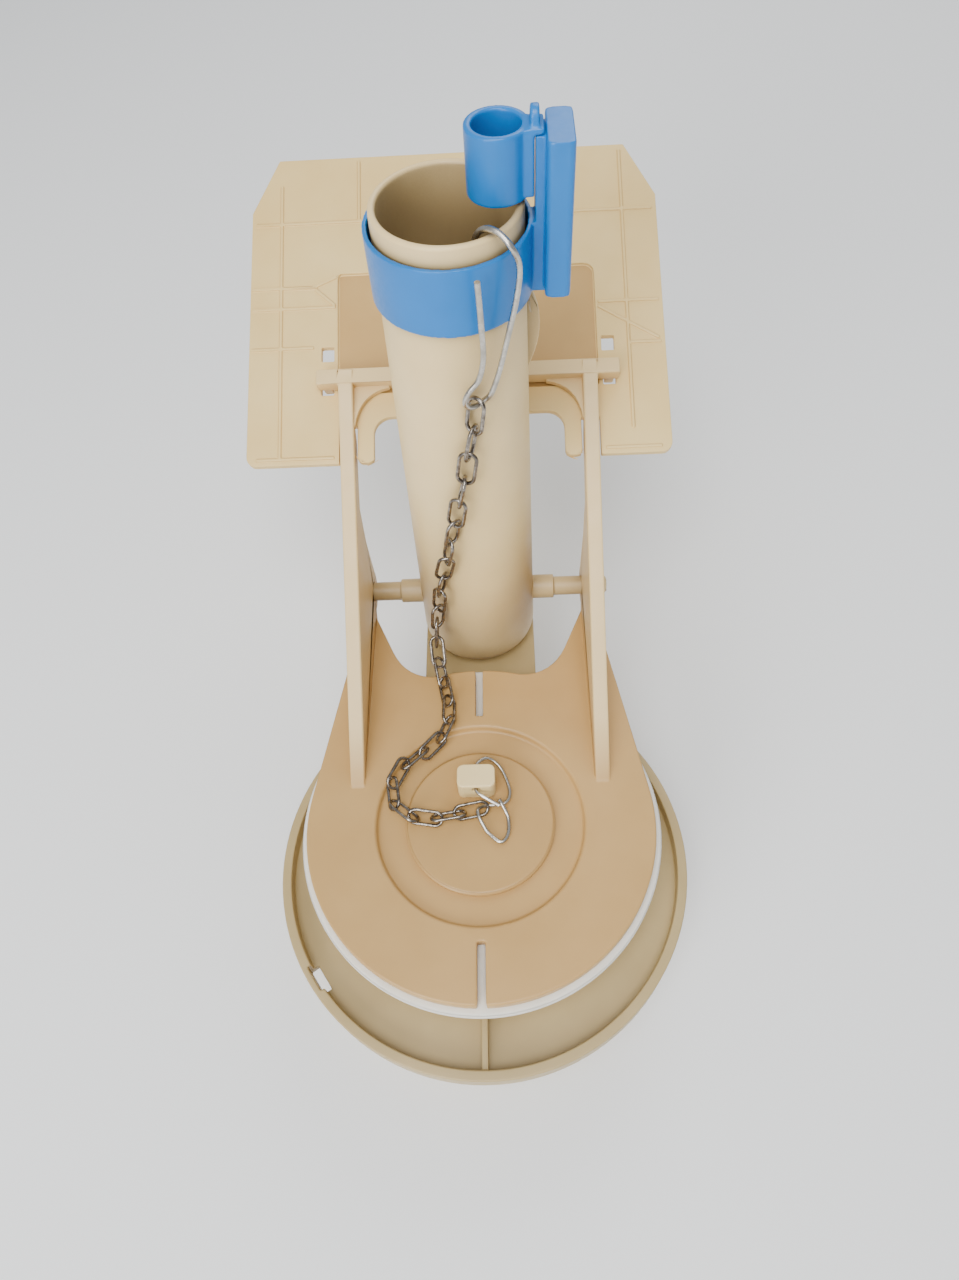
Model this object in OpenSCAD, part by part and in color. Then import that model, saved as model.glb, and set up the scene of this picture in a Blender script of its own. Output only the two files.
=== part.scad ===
// Toilet flush valve: outlet base with a tapered overflow tube, a hinged flapper on two
// long arms with a vane plate behind the tube, a refill tube clip and a lift chain.
// Frame: Z up, origin on the outlet axis at the flange's underside, +Y towards the tube.

/* [Outlet and flange] */
// Bore of the outlet throat, as a radius
throat_r = 38.5; // [30:0.5:41]
// Wall of the threaded shank
shank_wall = 4; // [3:0.5:6]
// Length of the shank below the flange
shank_len = 30; // [26:1:60]
// Thickness of tank floor that fits between gasket and washer
tank_floor_t = 10; // [6:0.5:12]
// Thread pitch of the shank
thread_pitch = 3; // [2:0.5:4]
// Thread depth of the shank
thread_depth = 1; // [0.5:0.1:1.5]
// Radius of the flange
flange_r = 60; // [56:1:72]
// How far the flange centre stands ahead of the outlet axis
flange_shift = 5; // [0:0.5:8]
// Thickness of the flange
flange_t = 3; // [2:0.5:5]
// Height of the lip round the flange
lip_h = 8; // [5:0.5:12]
// Width of the lip round the flange
lip_w = 2.8; // [1.5:0.1:5]
// Radius of the seat's crest
seat_r = 44.5; // [43.5:0.5:47]
// Height of the seat's crest
seat_z = 18.2; // [14:0.2:24]

/* [Washers and nut] */
// Thickness of the tank gasket
gasket_t = 5; // [3:0.5:7]
// Outer radius of the tank gasket
gasket_r = 54; // [48:1:60]
// Thickness of the friction washer
washer_t = 1.5; // [1:0.25:3]
// Outer radius of the round part of the lock nut
nut_r = 51; // [48:1:60]
// How far the nut's wings stand out
wing_out = 5; // [2:0.5:10]
// Number of wings on the nut
wing_count = 8; // [4:1:12]

/* [Flapper] */
// Radius of the flapper's disc
disc_r = 49.6; // [46:0.2:54]
// Thickness of the disc
disc_t = 4; // [3:0.25:6]
// Outer radius of the groove in the disc
groove_r = 29.5; // [26:0.5:33]
// Radius of the raised hub in the middle
hub_r = 21.2; // [16:0.2:24]
// Depth of the groove
groove_depth = 2; // [1:0.25:2.5]
// Width of the two gate slots
slot_w = 2.3; // [1.5:0.1:4]
// Length of the two gate slots
slot_len = 16; // [8:1:17]
// Thickness of the silicone seal
seal_t = 3.5; // [2:0.25:5]
// How far the seal shows past the disc
seal_out = 1.9; // [1:0.1:3]
// Outer radius of the float cup under the seal
cup_r = 27; // [20:1:32]
// Wall of the float cup
cup_wall = 1.8; // [1.2:0.1:3]
// Bottom of the float cup above the flange's underside
cup_z = 4; // [3:0.5:8]

/* [Hinge and arms] */
// Distance of the hinge and the tube behind the outlet axis
tube_y = 77; // [74:0.5:84]
// Height of the hinge
hinge_z = 32; // [30:0.5:38]
// Radius of the hinge pins
pin_r = 3; // [2:0.1:4]
// Running clearance of an ear on its pin
pin_clear = 0.06; // [0.02:0.01:0.1]
// Radius of the shoulder on each pin
boss_r = 3.8; // [3:0.1:5]
// Half of the clear width between the two arms
arm_in = 33.5; // [31:0.5:36]
// Thickness of an arm
arm_t = 4.3; // [3:0.1:6]
// Radius of the ear round a pin
ear_r = 6.8; // [6:0.1:8]
// Slope of the arms' front edge
arm_slope = 32.9; // [28:0.5:36]
// Length of the arms' front edge
arm_len = 122; // [110:1:130]
// Where the arms' front edge starts on the disc
arm_y = 11; // [5:0.5:20]

/* [Overflow tube] */
// Outer radius of the tube at its rim
tube_top_r = 15.9; // [14:0.1:17]
// Outer radius of the tube at its foot
tube_foot_r = 18.2; // [16:0.1:20]
// Wall of the tube
tube_wall = 1.6; // [1.2:0.1:2.5]
// Height of the tube's rim
tube_top = 164; // [150:1:220]
// Height of the tube's lower end
tube_low = 14; // [12.5:0.5:16]

/* [Vane] */
// Slope of the vane plate
vane_slope = 23.5; // [18:0.5:28]
// Thickness of the vane plate
vane_t = 2.2; // [1.5:0.1:3]
// Width of the vane to the left of the middle
vane_left = 66; // [50:1:75]
// Width of the vane to the right of the middle
vane_right = 59; // [50:1:75]
// Length of the vane above its hinge line
vane_high = 94; // [70:1:110]
// Width and height of a hook hole
hook_hole = [3.8, 4.6];

/* [Refill clip] */
// How far the collar's lower edge lies below the tube's rim
collar_drop = 19.5; // [18:0.5:30]
// Height of the collar
collar_h = 15.5; // [10:0.5:18]
// Wall of the collar
collar_wall = 1.0; // [0.8:0.1:2]
// Distance of the web's inner face from the tube's outer wall
web_off = 1.85; // [1.5:0.05:3]
// Clearance of the collar round the tube
collar_clear = 0.35; // [0.2:0.05:0.6]
// Outer radius of the refill cup
refill_r = 6.3; // [5:0.1:8]
// Bore of the refill cup, as a radius
refill_bore_r = 4.8; // [3:0.1:5]
// Height of the refill cup
refill_h = 13.5; // [10:0.5:20]

/* [Chain] */
// Width of a chain link
link_w = 5.2; // [5:0.1:5.8]
// Wire radius of the chain links
link_wire = 0.5; // [0.4:0.02:0.6]
// Wire radius of the hook
hook_wire = 0.65; // [0.5:0.05:0.9]
// Wire radius of the clip
clip_wire = 0.55; // [0.4:0.05:0.7]

/* [Hidden] */
$fn = 96;
eps = 0.01;
fit_gap = 0.05;
shank_r = throat_r + shank_wall;
hole_clear = 0.3;
nut_bore = shank_r + hole_clear;
register_r = shank_r + 0.6;
washer_z = -gasket_t - tank_floor_t;
nut_top = washer_z - washer_t;
nut_h = shank_len + nut_top;
seal_gap = 0.3;
seal_z = seat_z + seal_gap;
disc_low = seal_z + seal_t;
disc_top = disc_low + disc_t;
seal_r = disc_r + seal_out;
seat_wall = 2;
retainer_t = 2.6;
retainer_z = seal_z - retainer_t;
retainer_r = seat_r - 4;
stem_r = 8;
arm_out = arm_in + arm_t;
arm_top = [arm_y + arm_len * cos(arm_slope), disc_top + arm_len * sin(arm_slope)];
foot_half = tube_foot_r;
foot_h = tube_low - 1.5;
duct_wall = 3;
low_round = 5;
spigot_h = 8;
spigot_r = tube_foot_r - low_round - 0.2;
ring_wire = 0.56;
ring_r = spigot_r - 0.53;
ring_z = tube_low + spigot_h / 2;
collar_z = tube_top - collar_drop;
collar_r = tube_r(collar_z) + collar_clear;
web_in = tube_r(collar_z) + web_off;
wing_gap = 0.15;
web_drop = 0.8;
spine_w = 5.4;
spine_top = tube_top + 14;
post_at = [-0.8, 10.3];
post_size = [10.8, 7, 8];
post_hole_z = disc_top + 5.6;

// the vane's plane: its lower front line lies under the arms, its surface rises backwards
vane_from = [0, arm_y + 101.9 * cos(arm_slope), disc_top + 98.8 * sin(arm_slope) - 1];
vane_low = -5.6;
vane_cut = [9, 17.5];
bar_v = [17, 21.5];
bar_half = 44.4;
bar_lift = 0.4;
bar_t = 4.8;
notch_half = 28;
notch_top = 8.3;
notch_round = 5.2;
arm_slot_top = 5.8;
arm_slot_gap = 0.6;
hole_x = 41.75;
hole_v = [18.1, 28.8];
panel_half = 38.6;
panel_v = [bar_v[0] - 1, 54.8];
panel_depth = 0.9;
tab_size = [2.8, 2.4];

// route of the hanging chain: [x, y behind the tube's axis, share of the height up to the hook]
hang_bottom = disc_top + 18;
hang_top = tube_top - 39.8;
down_points = [
  [3.9, -19.0, 1], [0.9, -19.7, 0.79], [-2.6, -19.9, 0.59], [-6.5, -19.4, 0.36],
  [-9.8, -18.6, 0.14], [-11.5, -18.8, 0]];
// the slack rest of the chain: [x, y, height above the disc], over the disc's edge and round to the clip
over_points = [
  [-12.4, 56.2, 11], [-12.3, 51.8, 5.4], [-11.2, 45.5, 2.7], [-9.4, 38, 2.4], [-9.2, 30.5, 2.4],
  [-12, 24.6, 2.4], [-16.4, 20.4, 2.4], [-21.4, 17, 2.4], [-24.6, 11.6, 2.4], [-24.2, 5.6, 2.4],
  [-20, 1.4, 2.4], [-14, 0.2, 2.4], [-8, 0.8, 2.4], [-2.4, 2.1, 2.4]];
hang_pitch = 8.2;
slack_pitch = 6.5;
link_play = 0.2;
// slow twist of the chain about its length, by link number, on top of the quarter turns
link_twist = [[0, 48], [3, 0], [8, 90], [10, 110], [11, 180], [12, 200], [14, 225]];
side_scale = (tube_foot_r + tube_top_r) / 34.1;
down_route = [for (p = down_points)
  [p[0], tube_y + p[1] * side_scale, hang_bottom + p[2] * (hang_top - hang_bottom)]];
over_route = [for (p = over_points)
  [p[0], p[1] <= 20 ? p[1] : 20 + (p[1] - 20) * (tube_y - 39) / 38, disc_top + p[2]]];
// route of the hook's wire: over the rim, down the front, round the eye and back up
hook_points = [
  [5.2, -10.4, -5], [6.1, -10.9, -0.8], [8.0, -12.1, 1.2], [10.4, -13.8, 1.3],
  [12.9, -15.6, -0.8], [14.3, -15.1, -5.4], [13.6, -15.7, -12], [11.6, -17.0, -20.5],
  [9.6, -17.9, -28.5], [7.7, -18.5, -33.8], [6.1, -17.8, -36.4], [4.1, -19.0, -36.9],
  [2.5, -20.0, -36.1], [1.9, -20.5, -34.2], [2.9, -20.4, -31.6], [5.2, -19.9, -28.6],
  [6.4, -19.7, -23], [6.3, -19.8, -14], [6.0, -19.9, -4.8]];
hook_scale = tube_top_r / 15.9;
hook_route = [for (p = hook_points) [p[0] * hook_scale, tube_y + p[1] * hook_scale, tube_top + p[2]]];
// route of the clip's wire: through the post, round its side and into a pointed loop
clip_points = [
  [5.6, 2.6, 4.3], [1.8, 4.6, 5.3], [-0.7, 6.6, 5.6], [-0.8, 9, 5.6], [-0.8, 12, 5.6],
  [-0.5, 15.0, 5.5], [2.4, 17.1, 4.6], [6.0, 14.9, 3.0], [8.4, 9.4, 1.9], [8.4, 6.0, 1.6],
  [6.9, 4.3, 1.5], [4.2, 4.0, 1.3], [1.2, 3.8, 1.3], [-0.5, 2.4, 2.3], [-0.2, 0.2, 2.4],
  [0.9, -2.0, 1.7], [2.4, -4.2, 1.0], [5.8, -6.8, 0.8], [7.9, -4.4, 0.8], [8.0, 0.0, 1.2],
  [6.8, 2.8, 2.7], [5.6, 4.6, 4.0]];
clip_route = [for (p = clip_points) [p[0], p[1], disc_top + p[2]]];

tan_plastic = "#cbb28e";
cream_plastic = "#e3d3ad";
blue_plastic = "#0d8fe0";
steel = "#8d8780";

// outer radius of the overflow tube at a height
function tube_r(z) =
  tube_foot_r + (tube_top_r - tube_foot_r) * (z - tube_low) / (tube_top - tube_low);

// points of an arc in a plane, from one angle to another
function arc(c, r, a0, a1, steps = 8) =
  [for (i = [0:steps]) c + r * [cos(a0 + (a1 - a0) * i / steps), sin(a0 + (a1 - a0) * i / steps)]];

// a curve that leaves p0 towards p1 and arrives at p2
function bend(p0, p1, p2, steps = 8) =
  [for (i = [0:steps]) let (t = i / steps) (1 - t) * (1 - t) * p0 + 2 * t * (1 - t) * p1 + t * t * p2];

// a point of the vane's plane as [y, z]: v runs up its slope, h stands off its front
function on_vane(v, h) = [
  vane_from[1] + v * cos(vane_slope) - h * sin(vane_slope),
  vane_from[2] + v * sin(vane_slope) + h * cos(vane_slope)];

function unit(v) = v / norm(v);

// smooth curve through the given points, with a few steps between each two
function smooth(p, steps) = [
  for (i = [0:len(p) - 2])
    let (a = p[max(i - 1, 0)], b = p[i], c = p[i + 1], d = p[min(i + 2, len(p) - 1)])
      for (k = [0:steps - 1])
        let (t = k / steps)
          0.5 * (2 * b + (c - a) * t + (2 * a - 5 * b + 4 * c - d) * t * t
            + (3 * b - a - 3 * c + d) * t * t * t),
  p[len(p) - 1]];

function heading(p, i) = unit(p[min(i + 1, len(p) - 1)] - p[max(i - 1, 0)]);

// side directions carried along the path without twist
function sides_of(p, i, side) =
  let (t = heading(p, i), s = unit(side - (side * t) * t))
    i == len(p) - 1 ? [s] : concat([s], sides_of(p, i + 1, s));

// a round wire of radius r along the path p
module wire(p, r, facets = 8) {
  t0 = heading(p, 0);
  start = abs(t0[2]) < 0.9 ? cross(t0, [0, 0, 1]) : cross(t0, [1, 0, 0]);
  side = sides_of(p, 0, start);
  rings = [for (i = [0:len(p) - 1]) let (t = heading(p, i), u = side[i], w = cross(t, u))
    for (k = [0:facets - 1]) p[i] + r * (cos(360 * k / facets) * u + sin(360 * k / facets) * w)];
  n = len(p);
  walls = [for (i = [0:n - 2]) for (k = [0:facets - 1]) let (m = (k + 1) % facets)
    [i * facets + k, i * facets + m, (i + 1) * facets + m, (i + 1) * facets + k]];
  first = [for (k = [0:facets - 1]) facets - 1 - k];
  last = [for (k = [0:facets - 1]) (n - 1) * facets + k];
  polyhedron(rings, concat([first], walls, [last]));
}

// a plate lying in the vane's plane: its drawing is in [x, v], its face stands h off the front
module in_vane(h, t) {
  translate([0, vane_from[1], vane_from[2]])
    rotate([vane_slope, 0, 0])
      translate([0, 0, h])
        linear_extrude(t) children();
}

module ring(r_out, r_in, z, h) {
  translate([0, 0, z])
    difference() {
      cylinder(r = r_out, h = h);
      translate([0, 0, -eps]) cylinder(r = r_in, h = h + 2 * eps);
    }
}

// shank, throat and seat as one turned shape: threads below, a rounded crest on top
module throat_and_seat() {
  turns = floor((shank_len - gasket_t - tank_floor_t - 1) / thread_pitch);
  root = shank_r - thread_depth;
  threads = [for (i = [turns - 1:-1:0], c = [0:3])
    let (z = washer_z - 0.5 - i * thread_pitch)
      [c == 0 || c == 3 ? root : shank_r, z - [0.85, 0.6, 0.3, 0.05][c] * thread_pitch]];
  crest = arc([seat_r, seat_z - 1], 1, 0, 180, 10);
  rotate_extrude($fn = 128)
    polygon(concat(
      [[throat_r, -shank_len], [root, -shank_len]], threads,
      [[root, washer_z - 0.4], [shank_r, washer_z], [shank_r, -gasket_t], [register_r, -gasket_t],
        [register_r, eps]],
      [[seat_r + seat_wall, eps], [seat_r + seat_wall, seat_z - 4], [seat_r + 1, seat_z - 2]], crest,
      [[seat_r - 1, seat_z - 2], [throat_r + 1.2, 6], [throat_r, 2]]));
}

module foot_duct() {
  difference() {
    union() {
      translate([-foot_half, 0, 0]) cube([2 * foot_half, tube_y, foot_h]);
      translate([0, tube_y, 0]) cylinder(r = foot_half, h = foot_h);
    }
    // the channel that leads overflow water into the throat
    translate([-foot_half + duct_wall, 0, flange_t])
      cube([2 * (foot_half - duct_wall), tube_y, foot_h - 2 * flange_t + 0.5]);
    translate([0, tube_y, flange_t]) cylinder(r = foot_half - duct_wall, h = foot_h - 2 * flange_t + 0.5);
    translate([0, tube_y, flange_t]) cylinder(r = spigot_r - 2, h = foot_h);
    cylinder(r = seat_r, h = foot_h + 1);
  }
}

module valve_base() {
  slot_a = 215;
  color(tan_plastic)
    difference() {
      union() {
        difference() {
          union() {
            throat_and_seat();
            translate([0, -flange_shift, 0]) {
              cylinder(r = flange_r, h = flange_t);
              ring(flange_r, flange_r - lip_w, 0, lip_h);
            }
            // locating rib across the front of the flange
            translate([-0.85, -flange_shift - flange_r + 1, flange_t - eps])
              cube([1.7, flange_r + flange_shift - seat_r - 2, lip_h - flange_t - 1.2]);
          }
          // the throat, and the duct's way through its wall
          translate([0, 0, -eps]) cylinder(r = throat_r, h = flange_t + 2 * eps, $fn = 128);
          translate([-foot_half + duct_wall, throat_r - 6, flange_t])
            cube([2 * (foot_half - duct_wall), 30, foot_h - 2 * flange_t + 0.5]);
        }
        foot_duct();
        // shoulder and spigot that the overflow tube sits on
        translate([0, tube_y, 0]) ring(spigot_r + 1.5, spigot_r - 2, foot_h - eps, tube_low - foot_h);
        difference() {
          translate([0, tube_y, 0])
            ring(spigot_r, spigot_r - 2, foot_h - eps, tube_low + spigot_h - foot_h);
          // groove for the ring that seals the tube
          translate([0, tube_y, 0])
            ring(spigot_r + 1, ring_r - ring_wire - fit_gap, ring_z - ring_wire - 0.1, 2 * ring_wire + 0.2);
        }
      }
      // key slot at the edge of the flange
      translate([0, -flange_shift, 0])
        rotate([0, 0, slot_a])
          translate([flange_r - lip_w - 1.5, -3.8, -eps]) cube([2.5, 7.6, lip_h + 1]);
    }
}

module tube_seal() {
  color("#2f2f31")
    translate([0, tube_y, ring_z])
      rotate_extrude() translate([ring_r, 0]) circle(r = ring_wire, $fn = 32);
}

module tank_gasket() {
  color("#3a3a3c") ring(gasket_r, register_r + fit_gap, -gasket_t, gasket_t);
}

module friction_washer() {
  color("#efece2") ring(gasket_r, nut_bore, nut_top, washer_t);
}

module lock_nut() {
  color(cream_plastic) {
    difference() {
      union() {
        ring(nut_r, nut_bore, nut_top - nut_h, nut_h);
        ring(nut_r + 2, nut_bore, nut_top - 3, 3);
        for (i = [0:wing_count - 1])
          rotate([0, 0, i * 360 / wing_count])
            translate([nut_r - 2, -2.2, nut_top - nut_h]) cube([wing_out + 2, 4.4, nut_h]);
      }
      for (i = [0:2])
        ring(nut_bore + 0.9, nut_bore - 1, nut_top - 4.4 - i * thread_pitch, 1.4);
    }
  }
}

module hinge_pins() {
  for (s = [-1, 1])
    translate([0, tube_y, hinge_z])
      rotate([0, s * 90, 0]) {
        translate([0, 0, tube_foot_r - 3]) cylinder(r = boss_r, h = 24.6 - tube_foot_r + 3);
        translate([0, 0, 24]) cylinder(r = pin_r, h = arm_out + 3 - 24);
        translate([0, 0, arm_out + 3 - eps]) cylinder(r1 = pin_r, r2 = pin_r - 0.8, h = 0.8);
      }
}

module overflow_tube() {
  low_r = tube_r(tube_low);
  socket_r = spigot_r + fit_gap;
  socket_top = tube_low + spigot_h;
  round_low = arc([low_r - low_round, tube_low + low_round], low_round, -80, 0, 8);
  round_rim = arc([tube_top_r - 0.8, tube_top - 0.8], 0.8, 0, 180, 8);
  fin_z = [collar_z - 25.5, collar_z - 1];
  color(cream_plastic) {
    difference() {
      union() {
        translate([0, tube_y, 0])
          rotate_extrude($fn = 96)
            polygon(concat(
              [[socket_r, tube_low]], round_low, round_rim,
              [[tube_top_r - tube_wall, tube_top - 1.5],
                [tube_r(socket_top + 4) - tube_wall, socket_top + 4], [socket_r, socket_top]]));
        difference() {
          hinge_pins();
          translate([0, tube_y, tube_low]) cylinder(r = tube_foot_r - 0.8, h = 40);
        }
      }
    }
    // curved stop fin under the refill clip
    translate([0, tube_y + 4, 0])
      rotate([90, 0, 0])
        linear_extrude(1.6)
          polygon(concat(
            [[tube_top_r - 1.5, fin_z[0]]],
            bend([tube_top_r + 0.6, fin_z[0]], [tube_top_r + 6.6, (fin_z[0] + fin_z[1]) / 2 + 2],
              [tube_top_r - 0.1, fin_z[1]], 12),
            [[tube_top_r - 1.5, fin_z[1]]]));
  }
}

// outline of the flapper's disc with the two shoulders that carry the arms
module disc_outline() {
  lean = 10.1;
  touch = disc_r * [cos(lean), sin(lean)];
  rear = 71;
  for (s = [0, 1])
    mirror([s, 0])
      polygon(concat(
        [[0, 0], touch, [arm_out, rear], [arm_in, rear], [27.4, 57.5]],
        bend([27.4, 57.5], [22.6, 47.2], [13, 47.9]),
        [[0, 47.5]]));
  circle(r = disc_r, $fn = 160);
}

// side view of an arm: triangular web on the disc, an ear at the hinge, a bar up to the hooks
module arm_side() {
  under = 6;
  function edge(y, down) = [y, disc_top + (y - arm_y) * tan(arm_slope) - down];
  difference() {
    union() {
      polygon([
        [arm_y, disc_top], [arm_y - 2, disc_low], [71, disc_low], [tube_y, hinge_z],
        [tube_y + ear_r - 0.4, hinge_z + 2], [tube_y + 5, 52], edge(84, under + 1.5),
        edge(on_vane(arm_slot_top, bar_lift)[0] - 2.6, under), on_vane(arm_slot_top - 0.7, bar_lift),
        on_vane(bar_v[1], bar_lift), arm_top]);
      translate([tube_y, hinge_z]) circle(r = ear_r, $fn = 64);
    }
    translate([tube_y, hinge_z]) circle(r = pin_r + pin_clear, $fn = 64);
  }
}

module arms() {
  for (s = [0, 1])
    mirror([s, 0, 0]) {
      translate([arm_in, 0, 0]) rotate([90, 0, 90]) linear_extrude(arm_t) arm_side();
      translate([arm_out - eps, tube_y, hinge_z])
        rotate([0, 90, 0]) ring(4.6, pin_r + pin_clear, 0, 1.8);
    }
}

// crossbar with its hook ends and the curved gussets that join it to the arms
module crossbar() {
  in_vane(bar_lift, bar_t)
    translate([-bar_half, bar_v[0]]) square([2 * bar_half, bar_v[1] - bar_v[0]]);
  in_vane(bar_lift, 2)
    for (s = [0, 1])
      mirror([s, 0])
        polygon(concat(
          [[arm_in + 1, bar_v[0] + 1], [arm_in + 1, arm_slot_top - 1]],
          bend([arm_in - 0.2, arm_slot_top - 1], [arm_in - 1.5, bar_v[0] - 2], [23, bar_v[0] - 0.5]),
          [[23, bar_v[0] + 1]]));
  in_vane(-vane_t - 1.6, vane_t + 2.2)
    for (s = [-1, 1])
      translate([s * hole_x - tab_size[0] / 2, hole_v[0] + hook_hole[1] / 2 - tab_size[1] - 0.3])
        square(tab_size);
}

module flapper_frame() {
  color(tan_plastic) {
    difference() {
      union() {
        difference() {
          translate([0, 0, disc_low]) linear_extrude(disc_t) disc_outline();
          translate([0, 0, disc_top - groove_depth]) cylinder(r = groove_r, h = disc_t);
          for (s = [-1, 1])
            translate([-slot_w / 2, s < 0 ? -disc_r - 1 : disc_r - slot_len, disc_low - 1])
              cube([slot_w, slot_len + 1, disc_t + 2]);
        }
        arms();
        crossbar();
      }
      translate([0, 0, disc_low - 1]) cylinder(r = stem_r + fit_gap, h = disc_t + 1);
      translate([post_at[0], post_at[1], disc_low - 1]) cylinder(r = 2.6, h = disc_t + 2);
    }
  }
}

module centre_hub() {
  color(tan_plastic)
    difference() {
      union() {
        translate([0, 0, disc_top - groove_depth]) cylinder(r = hub_r, h = groove_depth - 0.4);
        translate([0, 0, disc_top - 0.4 - eps]) cylinder(r1 = hub_r, r2 = hub_r - 0.4, h = 0.4 + eps);
        translate([0, 0, retainer_z - 3])
          cylinder(r = stem_r, h = disc_top - groove_depth - retainer_z + 3);
      }
      // socket for the chain post
      translate([post_at[0], post_at[1], disc_top - groove_depth - 1]) cylinder(r = 2.6, h = 4);
      translate([0, 0, retainer_z - 4]) cylinder(r = stem_r - 2.5, h = 8);
    }
}

module flapper_seal() {
  color("#ece9df")
    rotate_extrude($fn = 128)
      polygon(concat(
        [[stem_r + fit_gap, seal_z + 1], [retainer_r + 0.5, seal_z + 1], [seat_r - 2.5, seal_z],
          [seal_r - 1, seal_z]],
        arc([seal_r - 1, seal_z + 1], 1, -80, 0, 4),
        [[seal_r, disc_low - 0.4], [seal_r - 0.4, disc_low], [stem_r + fit_gap, disc_low]]));
}

module seal_retainer() {
  color(cream_plastic)
    difference() {
      translate([0, 0, retainer_z]) {
        cylinder(r = retainer_r, h = retainer_t + 1 - fit_gap);
        translate([0, 0, -2]) cylinder(r = 14, h = 2 + eps);
      }
      translate([0, 0, retainer_z - 3]) cylinder(r = stem_r + fit_gap, h = retainer_t + 6);
    }
}

module float_cup() {
  h = retainer_z - cup_z;
  color(cream_plastic)
    difference() {
      translate([0, 0, cup_z]) cylinder(r1 = cup_r - 2, r2 = cup_r, h = h);
      translate([0, 0, cup_z + cup_wall])
        cylinder(r1 = cup_r - 2 - cup_wall, r2 = cup_r - cup_wall, h = h);
      // bleed hole that sets how soon the flapper closes
      translate([-12, 0, cup_z - 1]) cylinder(r = 3.2, h = cup_wall + 2, $fn = 32);
    }
}

// what is cut off a lug's lower corner at x, where the lug lies on the given side
module lug_corner(x, side) {
  r = 1.8;
  translate([x, vane_low])
    difference() {
      translate([side < 0 ? -r : -0.5, -0.5]) square([r + 0.5, r + 0.5]);
      translate([side * r, r]) circle(r = r, $fn = 32);
    }
}

// outline of the vane in [x, v]
module vane_outline() {
  difference() {
    polygon(concat(
      arc([-vane_left + 3, vane_low + 3], 3, 180, 270, 6),
      arc([vane_right - 3, vane_low + 3], 3, 270, 360, 6),
      [[vane_right - 0.6, vane_high - vane_cut[1]], [vane_right - vane_cut[0] - 0.6, vane_high],
        [-vane_left + vane_cut[0], vane_high], [-vane_left + 0.8, vane_high - vane_cut[1]]]));
    // notch that clears the overflow tube
    polygon(concat(
      [[notch_half, vane_low - 1]],
      arc([notch_half - notch_round, notch_top - notch_round], notch_round, 0, 90, 8),
      arc([-notch_half + notch_round, notch_top - notch_round], notch_round, 90, 180, 8),
      [[-notch_half, vane_low - 1]]));
    // slots for the two arms
    for (s = [-1, 1])
      translate([s * (arm_in + arm_out) / 2 - arm_t / 2 - arm_slot_gap, vane_low - 1])
        square([arm_t + 2 * arm_slot_gap, arm_slot_top - vane_low + 1]);
    // round lower corners of the two lugs beside the notch
    for (s = [0, 1])
      mirror([s, 0]) {
        lug_corner(notch_half, 1);
        lug_corner((arm_in + arm_out) / 2 - arm_t / 2 - arm_slot_gap, -1);
      }
    for (s = [-1, 1], v = hole_v)
      translate([s * hole_x - hook_hole[0] / 2, v - hook_hole[1] / 2]) square(hook_hole);
  }
}

// low ribs drawn on the vane's face, each from one [x, v] to another
module vane_ribs() {
  rib = 0.9;
  tall = 0.45;
  lines = [
    [[-56, vane_low + 2], [-56, vane_high - 9]], [[-32.2, 72], [-32.2, vane_high - 1.5]],
    [[-vane_left + 3, vane_low + 1.8], [-arm_out - 2, vane_low + 1.8]],
    [[arm_out + 2, vane_low + 1.8], [vane_right - 3, vane_low + 1.8]],
    [[-vane_left + 2, 72], [-20, 72]], [[-vane_left + 1, 50.6], [-45, 50.6]], [[-46, 50.6], [-39, 53.8]],
    [[-vane_left + 1, 43.9], [-39.4, 43.9]], [[-vane_left + 1, 31], [-46, 31]],
    [[48, 2], [48, vane_high - 2]], [[26, 72], [vane_right - 2, 72]],
    [[39.4, 42], [vane_right - 1.5, 42]], [[48, 28.6], [vane_right - 1.5, 28.6]],
    [[39.4, 40.6], [vane_right - 2, 29.7]], [[-45.4, 49.8], [-39.6, 44.4]]];
  in_vane(-eps, tall)
    for (l = lines) {
      d = l[1] - l[0];
      translate(l[0]) rotate([0, 0, atan2(d[1], d[0])]) translate([0, -rib / 2]) square([norm(d), rib]);
    }
}

module vane_plate() {
  color(cream_plastic) {
    difference() {
      in_vane(-vane_t, vane_t) vane_outline();
      in_vane(-panel_depth, panel_depth + 1)
        polygon(concat(
          [[-panel_half, panel_v[0]], [panel_half, panel_v[0]]],
          arc([panel_half - 3, panel_v[1] - 3], 3, 0, 90, 6),
          arc([-panel_half + 1, panel_v[1] - 1], 1, 90, 180, 4)));
    }
    vane_ribs();
  }
}

// the post stands on the hub, with a cross hole for the clip and a stem pressed into the hub
module chain_post() {
  w = post_size[0];
  d = post_size[1];
  h = post_size[2];
  r = 1.8;
  color("#efdfb9")
    translate([post_at[0], post_at[1], disc_top])
      difference() {
        union() {
          translate([-w / 2 + r, -d / 2, 0]) cube([w - 2 * r, d, h]);
          translate([-w / 2, -d / 2 + r, 0]) cube([w, d - 2 * r, h]);
          for (x = [-1, 1], y = [-1, 1])
            translate([x * (w / 2 - r), y * (d / 2 - r), 0]) cylinder(r = r, h = h, $fn = 32);
          translate([0, 0, -groove_depth - 0.9]) cylinder(r = 2.55, h = groove_depth + 1);
        }
        translate([0, d, post_hole_z - disc_top]) rotate([90, 0, 0]) cylinder(r = 1.2, h = 2 * d, $fn = 32);
      }
}

module chain_clip() {
  color(steel) wire(smooth(clip_route, 3), clip_wire);
}

module chain_hook() {
  color(steel) wire(smooth(hook_route, 3), hook_wire);
}

// running length along a path, point by point
function run(p, i = 0, done = 0) =
  i == len(p) - 1 ? [done] : concat([done], run(p, i + 1, done + norm(p[i + 1] - p[i])));

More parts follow.
